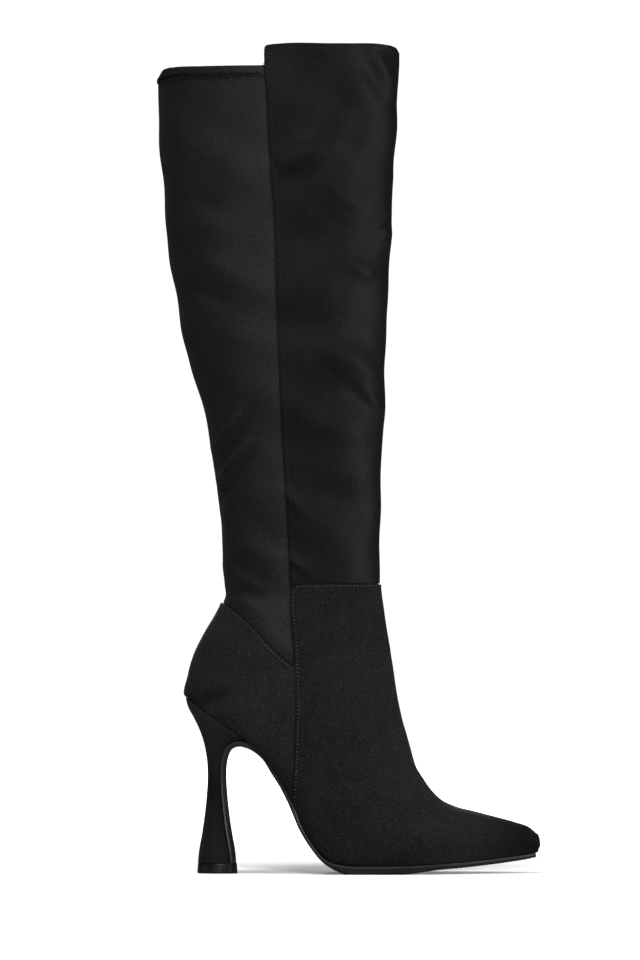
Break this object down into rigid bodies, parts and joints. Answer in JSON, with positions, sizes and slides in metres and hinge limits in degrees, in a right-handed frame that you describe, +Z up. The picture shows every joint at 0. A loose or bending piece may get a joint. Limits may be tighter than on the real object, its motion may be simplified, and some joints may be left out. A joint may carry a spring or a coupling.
{
  "type": "knee-high boot",
  "caption": "Pointed knee-high dress boot with a tall waisted heel, a suede front and a stretch panel down the back of the leg.",
  "frame": {"origin": "centre of the top lift's lower face, on the floor", "axes": "+X from the heel towards the toe, +Y towards the inner side of the foot, +Z up the leg"},
  "size_m": [0.2377, 0.0834, 0.5134],
  "materials": {
    "suede": "matte napped suede",
    "heel_cover": "matte suede cover",
    "stretch_fabric": "dull knitted stretch cloth",
    "lining_leather": "smooth dull lining",
    "footbed": "smooth, semi-matte",
    "sole_rubber": "satin edge, fine tread underneath",
    "lift": "polished sides"
  },
  "bodies": {
    "root": {"upper": "lining_leather", "vamp": "suede", "counter": "suede", "front_leg_panel": "suede", "stretch_back_panel": "stretch_fabric", "insole": "footbed", "outsole": "sole_rubber", "heel": "heel_cover", "top_lift": "lift"}
  },
  "joints": []
}
